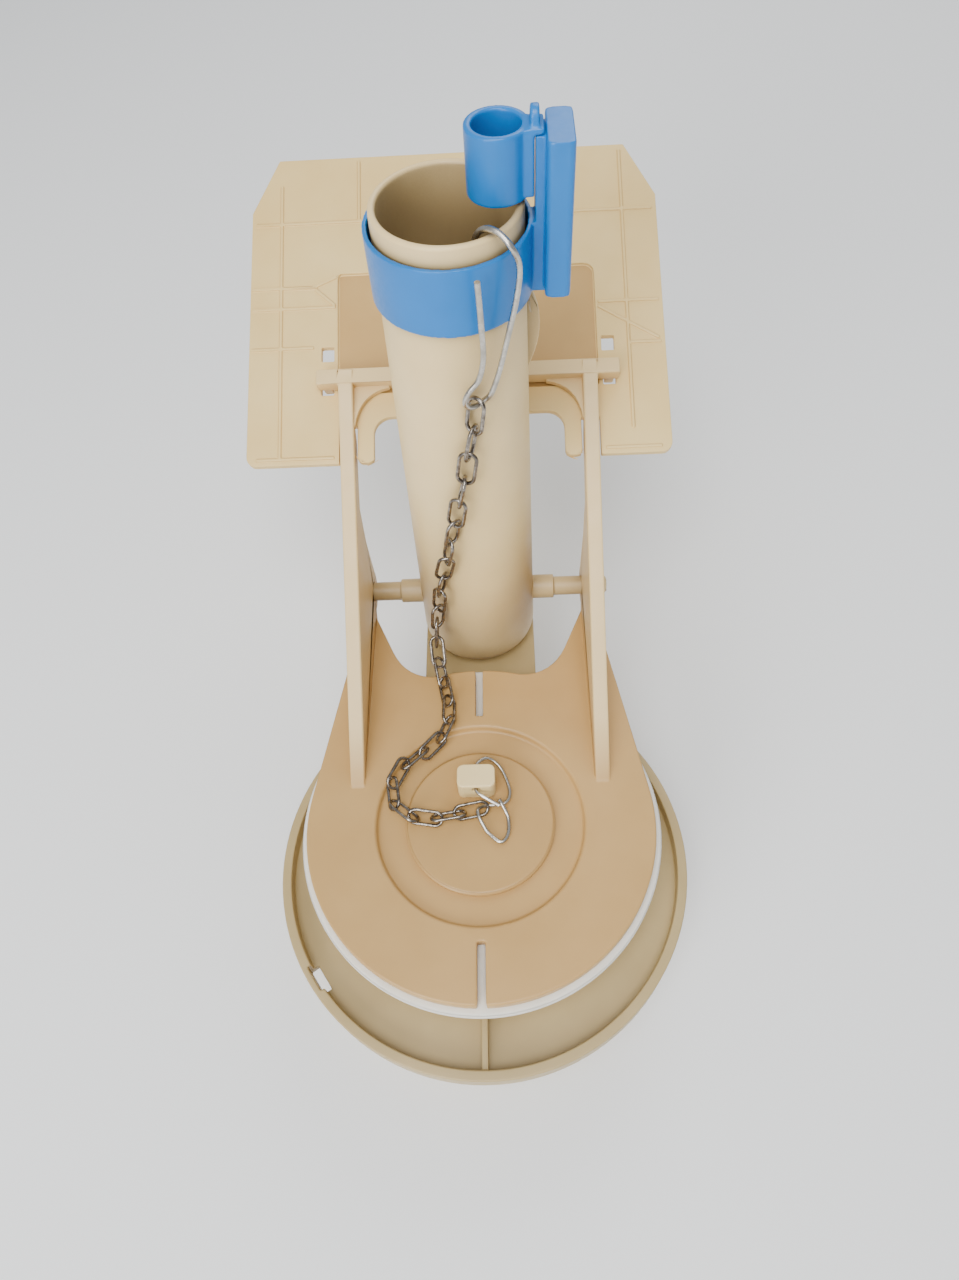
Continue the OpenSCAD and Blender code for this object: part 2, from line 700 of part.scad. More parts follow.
// the point of a path that lies a given length along it
function point_at(p, length_at, d) =
  let (i = min(len([for (a = length_at) if (a <= d) 1]) - 1, len(p) - 2))
    p[i] + (p[i + 1] - p[i]) * (d - length_at[i]) / (length_at[i + 1] - length_at[i]);

chain_path = smooth(concat(down_route, over_route), 8);
path_run = run(chain_path);
hang_run = path_run[8 * (len(down_route) - 1)];
slack_run = path_run[len(path_run) - 1] - hang_run;
hang_count = round(hang_run / hang_pitch);
slack_count = round(slack_run / slack_pitch);
link_len = hang_run / hang_count + 4 * link_wire + link_play;
link_at = concat(
  [for (i = [0:hang_count]) point_at(chain_path, path_run, hang_run * i / hang_count)],
  [for (i = [1:slack_count]) point_at(chain_path, path_run, hang_run + slack_run * i / slack_count - eps)]);
bridge_from = hang_count + 1;
lying_from = hang_count + 5;

// one oval link: long axis along Z, its opening faces Y
module link() {
  bend_r = link_w / 2 - link_wire;
  straight = link_len - link_w;
  for (s = [0, 1])
    mirror([0, 0, s])
      translate([0, 0, straight / 2])
        rotate([90, 0, 0])
          rotate_extrude(angle = 180, $fn = 32) translate([bend_r, 0]) circle(r = link_wire, $fn = 16);
  for (s = [-1, 1])
    translate([s * bend_r, 0, -straight / 2]) cylinder(r = link_wire, h = straight, $fn = 16);
}

// the links numbered from one to another: each lies along the route, turned from its neighbours
module links(from, to) {
  last = len(link_at) - 1;
  for (i = [from:to]) {
    p = link_at[i];
    t = unit(link_at[min(i + 1, last)] - link_at[max(i - 1, 0)]);
    out = unit([p[0], p[1] - tube_y, 0]);
    up = i <= hang_count ? out : i >= hang_count + 4 ? [0, 0, 1] : unit([0, -1, 1.2]);
    f = unit(up - (up * t) * t);
    s = cross(f, t);
    turn = 90 * (i % 2) + lookup(i, link_twist);
    x = cos(turn) * s + sin(turn) * f;
    y = cross(t, x);
    color(steel)
      multmatrix([
        [x[0], y[0], t[0], p[0]], [x[1], y[1], t[1], p[1]], [x[2], y[2], t[2], p[2]], [0, 0, 0, 1]])
        link();
  }
}

module chain_hanging() {
  links(0, bridge_from - 1);
}

module chain_bridge() {
  links(bridge_from, lying_from - 1);
}

module chain_lying() {
  links(lying_from, len(link_at) - 1);
}

module tube_collar() {
  top = collar_z + collar_h;
  spine_in = web_in + 1.8;
  color(blue_plastic)
    difference() {
      union() {
        translate([0, tube_y, 0]) cylinder_at(collar_r + collar_wall, collar_z, collar_h);
        // web that rises from the collar, and the box-shaped spine beside it
        translate([collar_r - 0.6, tube_y - 3, collar_z])
          cube([spine_in - collar_r + 1.2, 6, spine_top - web_drop - collar_z]);
        translate([spine_in, tube_y - 7, collar_z + 1]) spine(spine_w, 13, spine_top - collar_z - 1);
      }
      translate([0, tube_y, 0]) {
        cylinder_at(collar_r, collar_z - 1, collar_h + 2);
        cylinder_at(web_in, top, spine_top - top + 1);
      }
    }
}

module cylinder_at(r, z, h) {
  translate([0, 0, z]) cylinder(r = r, h = h);
}

// the spine: a closed box with rounded upright edges
module spine(w, d, h) {
  r = 1.2;
  translate([r, 0, 0]) cube([w - 2 * r, d, h]);
  translate([0, r, 0]) cube([w, d - 2 * r, h]);
  for (x = [r, w - r], y = [r, d - r])
    translate([x, y, 0]) cylinder(r = r, h = h, $fn = 24);
}

module refill_cup() {
  low = tube_top + 0.8;
  at = [10.6, tube_y + 1];
  tab_z = spine_top - web_drop + fit_gap;
  wing_x = sqrt(pow(web_in - wing_gap, 2) - 3 * 3);
  color(blue_plastic)
    difference() {
      union() {
        translate([at[0], at[1], low]) cylinder(r = refill_r, h = refill_h, $fn = 64);
        // side wing, and the latch tab that hangs it on the web
        translate([at[0] + 3, tube_y - 3, low + 0.6]) cube([wing_x - at[0] - 3, 5, tab_z - low + 0.4]);
        translate([wing_x - 1.6, tube_y - 3, tab_z]) cube([web_in + 1.5 - wing_x + 1.6, 6, 1.2]);
        translate([web_in - 1.2, tube_y, tab_z + 0.6])
          rotate([90, 0, 90])
            linear_extrude(1.8)
              polygon(concat([[-2.6, -0.5], [2.6, -0.5]], arc([0, 1.6], 2.2, 0, 180, 10)));
      }
      translate([at[0], at[1], low - 1]) cylinder(r = refill_bore_r, h = refill_h + 6, $fn = 64);
    }
}

valve_base();
tube_seal();
tank_gasket();
friction_washer();
lock_nut();
overflow_tube();
flapper_frame();
centre_hub();
flapper_seal();
seal_retainer();
float_cup();
vane_plate();
chain_post();
chain_clip();
chain_lying();
chain_bridge();
chain_hanging();
chain_hook();
tube_collar();
refill_cup();
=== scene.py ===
import math

import bmesh
import bpy
from mathutils import Matrix, Vector


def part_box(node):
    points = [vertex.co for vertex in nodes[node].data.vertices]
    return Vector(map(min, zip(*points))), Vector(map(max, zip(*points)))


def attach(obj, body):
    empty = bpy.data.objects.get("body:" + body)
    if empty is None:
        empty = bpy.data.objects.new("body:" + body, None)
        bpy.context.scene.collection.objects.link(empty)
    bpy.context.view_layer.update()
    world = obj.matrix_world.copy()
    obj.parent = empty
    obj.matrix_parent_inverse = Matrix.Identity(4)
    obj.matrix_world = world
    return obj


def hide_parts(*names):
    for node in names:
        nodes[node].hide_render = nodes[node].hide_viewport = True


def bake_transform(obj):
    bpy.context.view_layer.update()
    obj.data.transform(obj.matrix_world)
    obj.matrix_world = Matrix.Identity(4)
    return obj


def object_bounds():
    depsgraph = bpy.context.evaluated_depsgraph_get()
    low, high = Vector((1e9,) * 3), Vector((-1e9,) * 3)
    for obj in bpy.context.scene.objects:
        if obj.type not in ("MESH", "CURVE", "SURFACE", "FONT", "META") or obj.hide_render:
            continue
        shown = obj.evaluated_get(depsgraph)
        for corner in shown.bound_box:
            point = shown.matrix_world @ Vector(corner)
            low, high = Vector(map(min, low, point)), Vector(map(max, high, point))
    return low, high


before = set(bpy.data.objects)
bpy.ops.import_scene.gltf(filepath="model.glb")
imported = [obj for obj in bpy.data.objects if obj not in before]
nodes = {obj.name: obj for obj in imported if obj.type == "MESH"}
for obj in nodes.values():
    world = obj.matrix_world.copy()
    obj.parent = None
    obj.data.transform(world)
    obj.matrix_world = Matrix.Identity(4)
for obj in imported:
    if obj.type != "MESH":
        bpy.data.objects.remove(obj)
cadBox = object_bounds()
mm = 0.001

print("stage: floor, light, camera")

# the valve stands on the end of its shank, seen from the front and well above
studio = {
    "floorSize": 3.0,
    "floorGap": 0.1 * mm,
    "floorColour": "#F4F5F5",
    "skyColour": "#F2F6FA",
    "skyStrength": 0.5,
    "keyPlace": (-0.05, -0.40, 1.05),
    "keySize": 0.7,
    "keyPower": 11.0,
    "fillPlace": (-0.50, -0.80, 0.50),
    "fillSize": 0.6,
    "fillPower": 8.5,
    "rimPlace": (0.25, 0.85, 0.80),
    "rimSize": 0.7,
    "rimPower": 4.0,
    "aim": (0.0, 0.05, 0.03),
}
view = {
    "place": (0.010363, -0.092727, 0.265551),
    "right": (0.99888, -0.00724, -0.04672),
    "down": (-0.03128, -0.84207, -0.53845),
    "forward": (-0.03544, 0.53931, -0.84136),
    "lens": 24.94,
}


def toLinear(hexColour):
    parts = [int(hexColour[i:i + 2], 16) / 255 for i in (1, 3, 5)]
    return [c / 12.92 if c <= 0.04045 else ((c + 0.055) / 1.055) ** 2.4 for c in parts] + [1.0]


# one node with its settings, its socket values and what feeds it
def addNode(tree, kind, place, values=None, links=None, **settings):
    node = tree.nodes.new(kind)
    node.location = (place[0] * 200, place[1] * 200)
    for key, value in settings.items():
        setattr(node, key, value)
    for key, value in (values or {}).items():
        node.inputs[key].default_value = value
    for key, source in (links or {}).items():
        tree.links.new(source, node.inputs[key])
    return node


def addObject(name, data):
    item = bpy.data.objects.new(name, data)
    bpy.context.scene.collection.objects.link(item)
    return item


def addArea(name, place, size, power):
    light = bpy.data.lights.new(name, "AREA")
    light.shape = "DISK"
    light.size = size
    light.energy = power
    lamp = addObject(name, light)
    lamp.location = place
    lamp.rotation_euler = (Vector(studio["aim"]) - Vector(place)).to_track_quat("-Z", "Y").to_euler()


def makeStudio():
    half = studio["floorSize"] / 2
    z = cadBox[0][2] - studio["floorGap"]
    mesh = bpy.data.meshes.new("floor")
    corners = [(-half, -half, z), (half, -half, z), (half, half, z), (-half, half, z)]
    mesh.from_pydata(corners, [], [(0, 1, 2, 3)])
    floor = addObject("floor", mesh)
    paper = bpy.data.materials.new("mattPaper")
    paper.use_nodes = True
    shader = paper.node_tree.nodes["Principled BSDF"]
    shader.inputs["Base Color"].default_value = toLinear(studio["floorColour"])
    shader.inputs["Roughness"].default_value = 0.85
    mesh.materials.append(paper)

    world = bpy.data.worlds.new("softSky")
    world.use_nodes = True
    sky = world.node_tree.nodes["Background"]
    sky.inputs["Color"].default_value = toLinear(studio["skyColour"])
    sky.inputs["Strength"].default_value = studio["skyStrength"]
    bpy.context.scene.world = world
    for lamp in ("key", "fill", "rim"):
        addArea(lamp, studio[lamp + "Place"], studio[lamp + "Size"], studio[lamp + "Power"])


def makeCamera():
    lens = bpy.data.cameras.new("camera")
    lens.lens = view["lens"]
    lens.clip_start = 0.01
    camera = addObject("camera", lens)
    across, up, back = Vector(view["right"]), -Vector(view["down"]), -Vector(view["forward"])
    camera.matrix_world = Matrix.Translation(view["place"]) @ Matrix((across, up, back)).transposed().to_4x4()
    bpy.context.scene.camera = camera


makeStudio()
makeCamera()

print("materials")


def startMaterial(name, **sockets):
    material = bpy.data.materials.new(name)
    material.use_nodes = True
    tree = material.node_tree
    shader = tree.nodes["Principled BSDF"]
    for key, value in sockets.items():
        shader.inputs[key.replace("_", " ")].default_value = value
    return material, tree, shader


# Injection-moulded ABS: a fine mould grain, a slow drift of colour from the melt's flow,
# soft edges that let a little light in, a satin that varies from place to place, and painted shade in its
# hollows.
absLook = {
    "grain": 0.35 * mm,
    "drift": 26 * mm,
    "satin": 6 * mm,
    "paintedShadeReach": 7 * mm,
}


def mouldedAbs(name, colour, deep, roughness=0.44, inside=0.05, reach=absLook["paintedShadeReach"],
               paintedShadeColour=None, paintedLight=None):
    material, tree, shader = startMaterial(
        name, IOR=1.53, Subsurface_Weight=inside, Subsurface_Scale=1.5 * mm,
        Subsurface_Radius=(1.0, 0.85, 0.6))
    place = addNode(tree, "ShaderNodeTexCoord", (-7, 0))
    slow = addNode(tree, "ShaderNodeTexNoise", (-5, 1),
                   {"Scale": 1 / absLook["drift"], "Detail": 3.0, "Roughness": 0.55},
                   {"Vector": place.outputs["Object"]})
    # painted shade: ambient occlusion darkens the colour in hollows and crevices within the reach
    occludedShade = addNode(tree, "ShaderNodeAmbientOcclusion", (-5, 3), {"Distance": reach}, samples=8)
    shade = addNode(tree, "ShaderNodeMapRange", (-4, 3),
                    {"From Min": 0.3, "To Min": 0.85 if paintedShadeColour else 0.6, "To Max": 0.0},
                    {"Value": occludedShade.outputs["AO"]})
    tint = addNode(tree, "ShaderNodeMix", (-3, 1), {"A": toLinear(colour), "B": toLinear(deep)},
                   {"Factor": slow.outputs["Fac"]}, data_type="RGBA")
    plain = tint.outputs["Result"]
    if paintedLight:
        # painted light: the arms and crossbar above the disc are painted paler, for the light on their up- and
        # front-facing faces
        height = addNode(tree, "ShaderNodeSeparateXYZ", (-5, 5), links={"Vector": place.outputs["Object"]})
        litShare = addNode(tree, "ShaderNodeMapRange", (-4, 5),
                       {"From Min": paintedLight["low"], "From Max": paintedLight["high"], "To Max": paintedLight["share"]},
                       {"Value": height.outputs["Z"]})
        pale = addNode(tree, "ShaderNodeMix", (-3, 4), {"B": toLinear(paintedLight["colour"])},
                       {"Factor": litShare.outputs["Result"], "A": plain}, data_type="RGBA")
        plain = pale.outputs["Result"]
    # the painted shade is mixed over the plastic's colour, towards the painted shade colour or else the deep
    # tone
    base = addNode(tree, "ShaderNodeMix", (-2, 2), {"B": toLinear(paintedShadeColour or deep)},
                   {"Factor": shade.outputs["Result"], "A": plain}, data_type="RGBA")
    tree.links.new(base.outputs["Result"], shader.inputs["Base Color"])
    satin = addNode(tree, "ShaderNodeTexNoise", (-5, -1), {"Scale": 1 / absLook["satin"], "Detail": 4.0},
                    {"Vector": place.outputs["Object"]})
    gloss = addNode(tree, "ShaderNodeMapRange", (-3, -1),
                    {"From Min": 0.3, "From Max": 0.7, "To Min": roughness - 0.06, "To Max": roughness + 0.07},
                    {"Value": satin.outputs["Fac"]})
    tree.links.new(gloss.outputs["Result"], shader.inputs["Roughness"])
    fine = addNode(tree, "ShaderNodeTexNoise", (-5, -3),
                   {"Scale": 1 / absLook["grain"], "Detail": 2.0, "Roughness": 0.6},
                   {"Vector": place.outputs["Object"]})
    relief = addNode(tree, "ShaderNodeBump", (-2, -3), {"Strength": 0.35, "Distance": 0.02 * mm},
                     {"Height": fine.outputs["Fac"]})
    tree.links.new(relief.outputs["Normal"], shader.inputs["Normal"])
    return material


# Gloss polypropylene, coloured through: clear highlights over a slightly wavy skin.
def glossPolypropylene(name, colour, deep):
    material, tree, shader = startMaterial(
        name, IOR=1.45, Subsurface_Weight=0.05, Subsurface_Scale=2.0 * mm, Subsurface_Radius=(0.3, 0.7, 1.0),
        Coat_Weight=0.08, Coat_Roughness=0.14)
    place = addNode(tree, "ShaderNodeTexCoord", (-7, 0))
    slow = addNode(tree, "ShaderNodeTexNoise", (-5, 1), {"Scale": 1 / (14 * mm), "Detail": 2.0},
                   {"Vector": place.outputs["Object"]})
    tint = addNode(tree, "ShaderNodeMix", (-3, 1), {"A": toLinear(colour), "B": toLinear(deep)},
                   {"Factor": slow.outputs["Fac"]}, data_type="RGBA")
    tree.links.new(tint.outputs["Result"], shader.inputs["Base Color"])
    skin = addNode(tree, "ShaderNodeTexNoise", (-5, -1), {"Scale": 1 / (1.1 * mm), "Detail": 3.0},
                   {"Vector": place.outputs["Object"]})
    gloss = addNode(tree, "ShaderNodeMapRange", (-3, -1),
                    {"From Min": 0.3, "From Max": 0.7, "To Min": 0.30, "To Max": 0.40},
                    {"Value": skin.outputs["Fac"]})
    tree.links.new(gloss.outputs["Result"], shader.inputs["Roughness"])
    relief = addNode(tree, "ShaderNodeBump", (-2, -3), {"Strength": 0.25, "Distance": 0.02 * mm},
                     {"Height": skin.outputs["Fac"]})
    tree.links.new(relief.outputs["Normal"], shader.inputs["Normal"])
    return material


# Compression-moulded silicone rubber: milky, light glows through its thin rim.
def mouldedSilicone(name):
    material, tree, shader = startMaterial(
        name, IOR=1.41, Subsurface_Weight=0.7, Subsurface_Scale=3.0 * mm, Subsurface_Radius=(1.0, 0.95, 0.9),
        Sheen_Weight=0.1)
    place = addNode(tree, "ShaderNodeTexCoord", (-6, 0))
    cloud = addNode(tree, "ShaderNodeTexNoise", (-4, 1), {"Scale": 1 / (9 * mm), "Detail": 3.0},
                    {"Vector": place.outputs["Object"]})
    tint = addNode(tree, "ShaderNodeMix", (-2, 1), {"A": toLinear("#F4F1E8"), "B": toLinear("#E3DFD3")},
                   {"Factor": cloud.outputs["Fac"]}, data_type="RGBA")
    tree.links.new(tint.outputs["Result"], shader.inputs["Base Color"])
    gloss = addNode(tree, "ShaderNodeMapRange", (-2, -1), {"To Min": 0.42, "To Max": 0.58},
                    {"Value": cloud.outputs["Fac"]})
    tree.links.new(gloss.outputs["Result"], shader.inputs["Roughness"])
    return material


# EPDM rubber, pressed: nearly black, matt, with a bloom of lighter dust.
def pressedRubber(name):
    material, tree, shader = startMaterial(name, IOR=1.5)
    place = addNode(tree, "ShaderNodeTexCoord", (-6, 0))
    bloom = addNode(tree, "ShaderNodeTexNoise", (-4, 1), {"Scale": 1 / (3 * mm), "Detail": 6.0},
                    {"Vector": place.outputs["Object"]})
    tint = addNode(tree, "ShaderNodeMix", (-2, 1), {"A": toLinear("#232324"), "B": toLinear("#38383A")},
                   {"Factor": bloom.outputs["Fac"]}, data_type="RGBA")
    tree.links.new(tint.outputs["Result"], shader.inputs["Base Color"])
    gloss = addNode(tree, "ShaderNodeMapRange", (-2, 0), {"To Min": 0.6, "To Max": 0.82},
                    {"Value": bloom.outputs["Fac"]})
    tree.links.new(gloss.outputs["Result"], shader.inputs["Roughness"])
    relief = addNode(tree, "ShaderNodeBump", (-2, -2), {"Strength": 0.4, "Distance": 0.04 * mm},
                     {"Height": bloom.outputs["Fac"]})
    tree.links.new(relief.outputs["Normal"], shader.inputs["Normal"])
    return material


# Drawn steel wire: bright satin, its polish broken by faint die marks and handling rub.
def drawnSteel(name, colour, dark, shine, rub):
    material, tree, shader = startMaterial(name, Metallic=1.0)
    place = addNode(tree, "ShaderNodeTexCoord", (-7, 0))
    marks = addNode(tree, "ShaderNodeTexNoise", (-5, 1), {"Scale": 1 / rub, "Detail": 5.0, "Roughness": 0.65},
                    {"Vector": place.outputs["Object"]})
    dull = addNode(tree, "ShaderNodeMapRange", (-4, 1), {"From Min": 0.35, "From Max": 0.68},
                   {"Value": marks.outputs["Fac"]})
    tint = addNode(tree, "ShaderNodeMix", (-2, 1), {"A": toLinear(colour), "B": toLinear(dark)},
                   {"Factor": dull.outputs["Result"]}, data_type="RGBA")
    tree.links.new(tint.outputs["Result"], shader.inputs["Base Color"])
    gloss = addNode(tree, "ShaderNodeMapRange", (-2, -1), {"To Min": shine, "To Max": shine + 0.16},
                    {"Value": dull.outputs["Result"]})
    tree.links.new(gloss.outputs["Result"], shader.inputs["Roughness"])
    relief = addNode(tree, "ShaderNodeBump", (-2, -3), {"Strength": 0.12, "Distance": 0.004 * mm},
                     {"Height": marks.outputs["Fac"]})
    tree.links.new(relief.outputs["Normal"], shader.inputs["Normal"])
    return material


# painted light: a paler colour mixed in above the disc, rising with height
paintedLightAboveDisc = {
    "colour": "#EDD29A",
    "low": 26.5 * mm,
    "high": 36 * mm,
    "share": 0.75,
}
tanAbs = mouldedAbs("tanMouldedAbs", "#CBA468", "#B58D50", paintedLight=paintedLightAboveDisc)
hubAbs = mouldedAbs("tanHubMouldedAbs", "#C69F62", "#B0884C")
baseAbs = mouldedAbs("greyTanMouldedAbs", "#C2AB7B", "#A38C5C")
creamAbs = mouldedAbs("creamMouldedAbs", "#F0D495", "#DDB970")
# painted shade: the tube's inside is darkened far down its bore; its cream is also painted lighter than the
# vane's, for the front light on the tube
tubeAbs = mouldedAbs("creamTubeMouldedAbs", "#F6DCA4", "#E2C284", reach=34 * mm, paintedShadeColour="#8C7550")
panelAbs = mouldedAbs("tanPanelMouldedAbs", "#CBA667", "#B48C4E")
postAbs = mouldedAbs("paleMouldedAbs", "#FAE3AC", "#E9CC8C", roughness=0.36)
bluePlastic = glossPolypropylene("blueGlossPolypropylene", "#0078C8", "#0068B0")
silicone = mouldedSilicone("milkySilicone")
rubber = pressedRubber("pressedEpdm")
washerPlastic = mouldedAbs("waxyPolyethylene", "#F1EEE4", "#DEDACB", roughness=0.5, inside=0.3)
wireSteel = drawnSteel("drawnStainlessWire", "#C9C5BD", "#AAA59C", 0.22, 3.0 * mm)
chainSteel = drawnSteel("nickelPlatedWire", "#A8A096", "#57504A", 0.20, 1.6 * mm)

print("moulded pieces")

moulding = {
    "merge": 0.002 * mm,
    "shortestEdge": 0.08 * mm,
    "sliver": 0.01 * mm,
    "roundAbove": math.radians(32),
    "smoothBelow": math.radians(50),
    "steps": 3,
}


def finishPiece(piece, body, slot, material, *replaced):
    piece.data.materials.clear()
    piece.data.materials.append(material)
    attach(piece, body)
    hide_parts(*replaced)


# the evaluated shape becomes a plain mesh, and the modifiers go
def settle(piece):
    bpy.context.view_layer.update()
    ready = piece.evaluated_get(bpy.context.evaluated_depsgraph_get())
    mesh = bpy.data.meshes.new_from_object(ready)
    piece.modifiers.clear()
    piece.data = mesh
    return mesh


# the frame's own solid as a clean mesh, its triangles merged and its short edges closed up
def cleanCopy(look):
    mesh = nodes[look["node"]].data.copy()
    piece = addObject(look["name"], mesh)
    shape = bmesh.new()
    shape.from_mesh(mesh)
    bmesh.ops.remove_doubles(shape, verts=shape.verts, dist=moulding["merge"])
    bmesh.ops.dissolve_degenerate(shape, edges=shape.edges, dist=moulding["shortestEdge"])
    if "round" in look:
        markRound(shape, look)
    shape.to_mesh(mesh)
    shape.free()
    for name in ("custom_normal", "sharp_face", "sharp_edge"):
        if name in mesh.attributes:
            mesh.attributes.remove(mesh.attributes[name])
    mesh.shade_smooth()
    return piece


def widestRound(look):
    return max([look["round"]] + [width for inside, width in look.get("regions", [])])


# every edge's share of the widest rounding, from the piece's own list of regions
def markRound(shape, look):
    share = shape.edges.layers.float.new("bevel_weight_edge")
    widest = widestRound(look)
    for edge in shape.edges:
        if len(edge.link_faces) != 2 or edge.calc_face_angle(0.0) < moulding["roundAbove"]:
            continue
        middle = (edge.verts[0].co + edge.verts[1].co) / 2
        width = look["round"]
        for inside, wanted in look.get("regions", []):
            if inside(middle):
                width = wanted
        edge[share] = width / widest


# faces with many corners are cut up, so that they shade evenly
def cutFaces(mesh):
    shape = bmesh.new()
    shape.from_mesh(mesh)
    bmesh.ops.dissolve_degenerate(shape, edges=shape.edges, dist=moulding["sliver"])
    wide = [face for face in shape.faces if len(face.verts) > 4]
    bmesh.ops.triangulate(shape, faces=wide, ngon_method="EAR_CLIP")
    shape.to_mesh(mesh)
    shape.free()


# a moulded piece: the frame's own shape with every edge rounded
def moulded(look):
    piece = cleanCopy(look)
    bevel = piece.modifiers.new("roundedEdges", "BEVEL")
    bevel.width = widestRound(look)
    bevel.segments = moulding["steps"]
    bevel.limit_method = "WEIGHT"
    bevel.use_clamp_overlap = False
    bevel.miter_outer = "MITER_ARC"
    mesh = settle(piece)
    cutFaces(mesh)
    keepInside(mesh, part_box(look["node"]))
    mesh.shade_smooth()
    mesh.set_sharp_from_angle(angle=moulding["smoothBelow"])
    weigh = piece.modifiers.new("faceNormals", "WEIGHTED_NORMAL")
    weigh.keep_sharp = True
    settle(piece)
    finishPiece(piece, look["body"], look["slot"], look["material"], look["node"])
    if "panel" in look:
        paintPanel(piece, look["panel"])
    return piece


# the vane's sunk panel is coloured a darker tan: its floor lies a little under the front face
def paintPanel(piece, panel):
    mesh = piece.data
    facing = [face for face in mesh.polygons if face.normal.z > 0.2 and face.normal.y < -0.2]
    front = max(facing, key=lambda face: face.area).normal.copy()
    level = max(front.dot(face.center) for face in facing if face.area > panel["least"])
    mesh.materials.append(panel["material"])
    for face in facing:
        sunk = level - front.dot(face.center)
        if face.normal.dot(front) > 0.99 and panel["from"] < sunk < panel["to"]:
            face.material_index = 1


# a small soft-edged piece: remeshed in fine cells, then smoothed, so its corners melt together
def softened(look):
    piece = cleanCopy(look)
    cells = piece.modifiers.new("fineCells", "REMESH")
    cells.mode = "VOXEL"
    cells.voxel_size = look["cell"]
    melt = piece.modifiers.new("meltedCorners", "SMOOTH")
    melt.factor = 0.5
    melt.iterations = look["melt"]
    mesh = settle(piece)
    keepInside(mesh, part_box(look["node"]))
    mesh.shade_smooth()
    finishPiece(piece, look["body"], look["slot"], look["material"], look["node"])
    return piece


# no corner of the rounding may stand outside the solid's own box
def keepInside(mesh, box):
    for vert in mesh.vertices:
        vert.co = [min(max(vert.co[k], box[0][k]), box[1][k]) for k in range(3)]


def fromAxis(point):
    return math.hypot(point[0], point[1])


mouldedPieces = [
    {"node": "valve_base", "name": "valveBase", "body": "base", "slot": "tan_plastic", "material": baseAbs,
     "round": 0.45 * mm},
    {"node": "flapper_frame", "name": "flapperFrame", "body": "flapper", "slot": "tan_plastic",
     "material": tanAbs, "round": 0.6 * mm,
     "regions": [
         (lambda p: 27.5 * mm < fromAxis(p) < 31 * mm, 1.0 * mm),
         (lambda p: 41 * mm < fromAxis(p) < 47 * mm and p[2] < 30 * mm, 0.9 * mm),
         (lambda p: abs(p[0]) < 36.3 * mm and p[2] > 70 * mm, 0.2 * mm),
     ]},
    {"node": "centre_hub", "name": "centreHub", "body": "flapper", "slot": "tan_plastic", "material": hubAbs,
     "round": 0.6 * mm},
    {"node": "overflow_tube", "name": "overflowTube", "body": "base", "slot": "cream_plastic",
     "material": tubeAbs, "round": 0.35 * mm},
    {"node": "vane_plate", "name": "vanePlate", "body": "vane", "slot": "cream_plastic", "material": creamAbs,
     "round": 0.3 * mm,
     "panel": {"material": panelAbs, "least": 4 * mm * mm, "from": 0.7 * mm, "to": 1.8 * mm}},
    {"node": "chain_post", "name": "chainPost", "body": "flapper", "slot": "post_plastic",
     "material": postAbs, "cell": 0.25 * mm, "melt": 8},
    {"node": "tube_collar", "name": "tubeCollar", "body": "collar", "slot": "blue_plastic",
     "material": bluePlastic, "cell": 0.25 * mm, "melt": 5},
    {"node": "refill_cup", "name": "refillCup", "body": "cup", "slot": "blue_plastic",
     "material": bluePlastic, "cell": 0.28 * mm, "melt": 8},
    {"node": "lock_nut", "name": "lockNut", "body": "nut", "slot": "cream_plastic", "material": creamAbs,
     "round": 0.5 * mm},
    {"node": "seal_retainer", "name": "sealRetainer", "body": "flapper", "slot": "cream_plastic",
     "material": creamAbs, "round": 0.5 * mm},
    {"node": "float_cup", "name": "floatCup", "body": "flapper", "slot": "cream_plastic",
     "material": creamAbs, "round": 0.6 * mm},
    {"node": "flapper_seal", "name": "flapperSeal", "body": "flapper", "slot": "silicone",
     "material": silicone, "round": 0.4 * mm},
    {"node": "tank_gasket", "name": "tankGasket", "body": "base", "slot": "gasket_rubber",
     "material": rubber, "round": 0.8 * mm},
    {"node": "tube_seal", "name": "tubeSeal", "body": "base", "slot": "gasket_rubber",
     "material": rubber, "round": 0.05 * mm},
    {"node": "friction_washer", "name": "frictionWasher", "body": "washer", "slot": "washer_plastic",
     "material": washerPlastic, "round": 0.3 * mm},
]
for look in mouldedPieces:
    made = softened(look) if "cell" in look else moulded(look)
    print(" ", look["name"], len(made.data.polygons), "faces")

print("wires and chain")

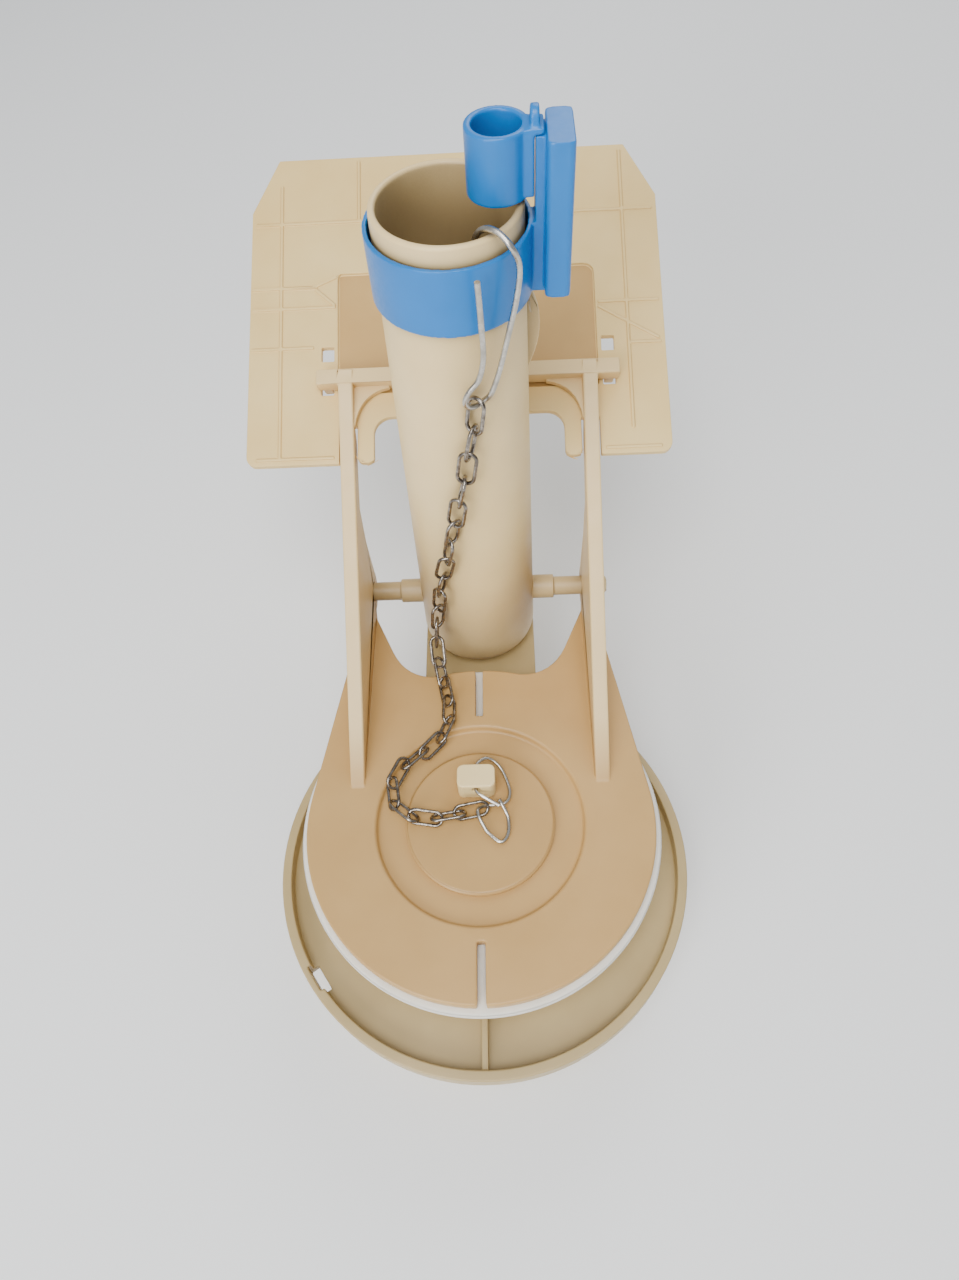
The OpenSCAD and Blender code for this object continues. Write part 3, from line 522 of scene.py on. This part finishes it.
wireLook = {
    "grain": 0.5 * mm,
    "sides": 14,
}
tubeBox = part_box("overflow_tube")
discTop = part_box("centre_hub")[1][2]
hook = {
    "radius": 0.65 * mm,
    "route": [
        (5.2, -10.4, -5), (6.1, -10.9, -0.8), (8.0, -12.1, 1.2), (10.4, -13.8, 1.3),
        (12.9, -15.6, -0.8), (14.3, -15.1, -5.4), (13.6, -15.7, -12), (11.6, -17.0, -20.5),
        (9.6, -17.9, -28.5), (7.7, -18.5, -33.8), (6.1, -17.8, -36.4), (4.1, -19.0, -36.9),
        (2.5, -20.0, -36.1), (1.9, -20.5, -34.2), (2.9, -20.4, -31.6), (5.2, -19.9, -28.6),
        (6.4, -19.7, -23), (6.3, -19.8, -14), (6.0, -19.9, -4.8)],
}
clip = {
    "radius": 0.55 * mm,
    "route": [
        (5.6, 2.6, 4.3), (1.8, 4.6, 5.3), (-0.7, 6.6, 5.6), (-0.8, 9, 5.6), (-0.8, 12, 5.6),
        (-0.5, 15.0, 5.5), (2.4, 17.1, 4.6), (6.0, 14.9, 3.0), (8.4, 9.4, 1.9), (8.4, 6.0, 1.6),
        (6.9, 4.3, 1.5), (4.2, 4.0, 1.3), (1.2, 3.8, 1.3), (-0.5, 2.4, 2.3), (-0.2, 0.2, 2.4),
        (0.9, -2.0, 1.7), (2.4, -4.2, 1.0), (5.8, -6.8, 0.8), (7.9, -4.4, 0.8), (8.0, 0.0, 1.2),
        (6.8, 2.8, 2.7), (5.6, 4.6, 4.0)],
}


def startTree(name, inputs):
    tree = bpy.data.node_groups.new(name, "GeometryNodeTree")
    tree.interface.new_socket("Geometry", in_out="INPUT", socket_type="NodeSocketGeometry")
    for label, kind in inputs:
        tree.interface.new_socket(label, in_out="INPUT", socket_type="NodeSocket" + kind)
    tree.interface.new_socket("Geometry", in_out="OUTPUT", socket_type="NodeSocketGeometry")
    return tree, addNode(tree, "NodeGroupInput", (-6, 0))


# the last nodes of every tree: real geometry with its material
def endTree(tree, source, material):
    whole = addNode(tree, "GeometryNodeRealizeInstances", (4, 0), links={"Geometry": source})
    smooth = addNode(tree, "GeometryNodeSetShadeSmooth", (5, 0), links={"Geometry": whole.outputs["Geometry"]})
    coated = addNode(tree, "GeometryNodeSetMaterial", (6, 0),
                     links={"Geometry": smooth.outputs["Geometry"], "Material": material})
    addNode(tree, "NodeGroupOutput", (7, 0), links={"Geometry": coated.outputs["Geometry"]})


def runTree(piece, tree, values):
    modifier = piece.modifiers.new(tree.name, "NODES")
    modifier.node_group = tree
    identifiers = {item.name: item.identifier for item in tree.interface.items_tree if item.in_out == "INPUT"}
    for label, value in values.items():
        modifier[identifiers[label]] = value
    return settle(piece)


# a round wire that follows a line of points as one smooth curve
def makeWireTree():
    tree, given = startTree("wireAlongRoute", [
        ("Wire Radius", "Float"), ("Step", "Float"), ("Sides", "Int"), ("Material", "Material")])
    line = addNode(tree, "GeometryNodeMeshToCurve", (-4, 1), links={"Mesh": given.outputs["Geometry"]})
    soft = addNode(tree, "GeometryNodeCurveSplineType", (-3, 1), links={"Curve": line.outputs["Curve"]},
                   spline_type="CATMULL_ROM")
    fine = addNode(tree, "GeometryNodeSetSplineResolution", (-2, 1), {"Resolution": 10},
                   {"Geometry": soft.outputs["Curve"]})
    even = addNode(tree, "GeometryNodeResampleCurve", (-1, 1),
                   links={"Curve": fine.outputs["Geometry"], "Length": given.outputs["Step"]}, mode="LENGTH")
    ring = addNode(tree, "GeometryNodeCurvePrimitiveCircle", (-1, -1),
                   links={"Resolution": given.outputs["Sides"], "Radius": given.outputs["Wire Radius"]})
    wire = addNode(tree, "GeometryNodeCurveToMesh", (2, 0), {"Fill Caps": True},
                   {"Curve": even.outputs["Curve"], "Profile Curve": ring.outputs["Curve"]})
    endTree(tree, wire.outputs["Mesh"], given.outputs["Material"])
    return tree


# one oval link, set down at each point and turned as the point says
def makeLinkTree():
    tree, given = startTree("linksAtPoints", [
        ("Link Length", "Float"), ("Link Width", "Float"), ("Wire Radius", "Float"), ("Sides", "Int"),
        ("Material", "Material")])
    thick = addNode(tree, "ShaderNodeMath", (-5, 2), {0: 2.0}, {1: given.outputs["Wire Radius"]},
                    operation="MULTIPLY")
    tall = addNode(tree, "ShaderNodeMath", (-4, 3), links={0: given.outputs["Link Length"], 1: thick.outputs[0]},
                   operation="SUBTRACT")
    wide = addNode(tree, "ShaderNodeMath", (-4, 2), links={0: given.outputs["Link Width"], 1: thick.outputs[0]},
                   operation="SUBTRACT")
    half = addNode(tree, "ShaderNodeMath", (-3, 1), {1: 0.4999}, {0: wide.outputs[0]}, operation="MULTIPLY")
    frameLine = addNode(tree, "GeometryNodeCurvePrimitiveQuadrilateral", (-3, 2),
                        links={"Width": wide.outputs[0], "Height": tall.outputs[0]})
    oval = addNode(tree, "GeometryNodeFilletCurve", (-2, 2), {"Count": 8},
                   {"Curve": frameLine.outputs["Curve"], "Radius": half.outputs[0]}, mode="POLY")
    ring = addNode(tree, "GeometryNodeCurvePrimitiveCircle", (-2, 0),
                   links={"Resolution": given.outputs["Sides"], "Radius": given.outputs["Wire Radius"]})
    link = addNode(tree, "GeometryNodeCurveToMesh", (-1, 1),
                   links={"Curve": oval.outputs["Curve"], "Profile Curve": ring.outputs["Curve"]})
    turn = addNode(tree, "GeometryNodeInputNamedAttribute", (-2, -1), {"Name": "linkTurn"},
                   data_type="FLOAT_VECTOR")
    rotation = addNode(tree, "FunctionNodeEulerToRotation", (-1, -1), links={"Euler": turn.outputs["Attribute"]})
    chain = addNode(tree, "GeometryNodeInstanceOnPoints", (1, 0),
                    links={"Points": given.outputs["Geometry"], "Instance": link.outputs["Mesh"],
                           "Rotation": rotation.outputs["Rotation"]})
    endTree(tree, chain.outputs["Instances"], given.outputs["Material"])
    return tree


wireTree = makeWireTree()
linkTree = makeLinkTree()


def makeWire(name, look, origin, body, node):
    points = [Vector(origin) + Vector(point) * mm for point in look["route"]]
    mesh = bpy.data.meshes.new(name)
    mesh.from_pydata(points, [(i, i + 1) for i in range(len(points) - 1)], [])
    piece = addObject(name, mesh)
    runTree(piece, wireTree, {
        "Wire Radius": look["radius"], "Step": wireLook["grain"], "Sides": wireLook["sides"],
        "Material": wireSteel})
    finishPiece(piece, body, "spring_wire", wireSteel, node)


# where each link of a chain node lies: its middle, and its length, width and depth directions
def linkPlaces(node):
    shape = bmesh.new()
    shape.from_mesh(nodes[node].data)
    bmesh.ops.remove_doubles(shape, verts=shape.verts, dist=chain["merge"])
    unseen = set(shape.verts)
    places = []
    while unseen:
        island = [unseen.pop()]
        for vert in island:
            for edge in vert.link_edges:
                other = edge.other_vert(vert)
                if other in unseen:
                    unseen.discard(other)
                    island.append(other)
        if len(island) >= chain["fewestCorners"]:
            places.append(linkFrame([vert.co.copy() for vert in island]))
    shape.free()
    return places


# long and wide directions of one link, from its farthest points and those farthest from its long axis
def linkFrame(points):
    low = Vector([min(p[k] for p in points) for k in range(3)])
    high = Vector([max(p[k] for p in points) for k in range(3)])
    middle = (low + high) / 2
    for i in range(4):
        near = max(points, key=lambda p: (p - middle).length)
        far = max(points, key=lambda p: (p - near).length)
        middle = (near + far) / 2
    middle = sum(points, Vector()) / len(points)
    along = (near - far).normalized()
    side = max(points, key=lambda p: (p - middle - (p - middle).dot(along) * along).length) - middle
    side = (side - side.dot(along) * along).normalized()
    return middle, along, side


def makeChain(name, node):
    places = linkPlaces(node)
    mesh = bpy.data.meshes.new(name)
    mesh.from_pydata([place[0] for place in places], [], [])
    turns = mesh.attributes.new("linkTurn", "FLOAT_VECTOR", "POINT")
    for i, (middle, along, side) in enumerate(places):
        depth = side.cross(along).normalized()
        turns.data[i].vector = Matrix((side, along, depth)).transposed().to_euler()
    piece = addObject(name, mesh)
    runTree(piece, linkTree, {
        "Link Length": chain["length"], "Link Width": chain["width"], "Wire Radius": chain["radius"],
        "Sides": chain["sides"], "Material": chainSteel})
    print(" ", name, len(places), "links")
    return piece


chain = {
    "length": 10.69 * mm,
    "width": 5.2 * mm,
    "radius": 0.5 * mm,
    "sides": 12,
    "merge": 0.02 * mm,
    "fewestCorners": 60,
}
makeWire("chainHook", hook, (0, (tubeBox[0][1] + tubeBox[1][1]) / 2, tubeBox[1][2]), "base", "chain_hook")
makeWire("chainClip", clip, (0, 0, discTop), "flapper", "chain_clip")
hanging = makeChain("hangingChain", "chain_hanging")
finishPiece(hanging, "base", "chain_steel", chainSteel, "chain_hanging")
lying = makeChain("lyingChain", "chain_lying")
finishPiece(lying, "flapper", "chain_steel", chainSteel, "chain_lying")
bridge = makeChain("bridgeChain", "chain_bridge")
bridge.data.materials.clear()
bridge.data.materials.append(chainSteel)
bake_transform(bridge)
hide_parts("chain_bridge")
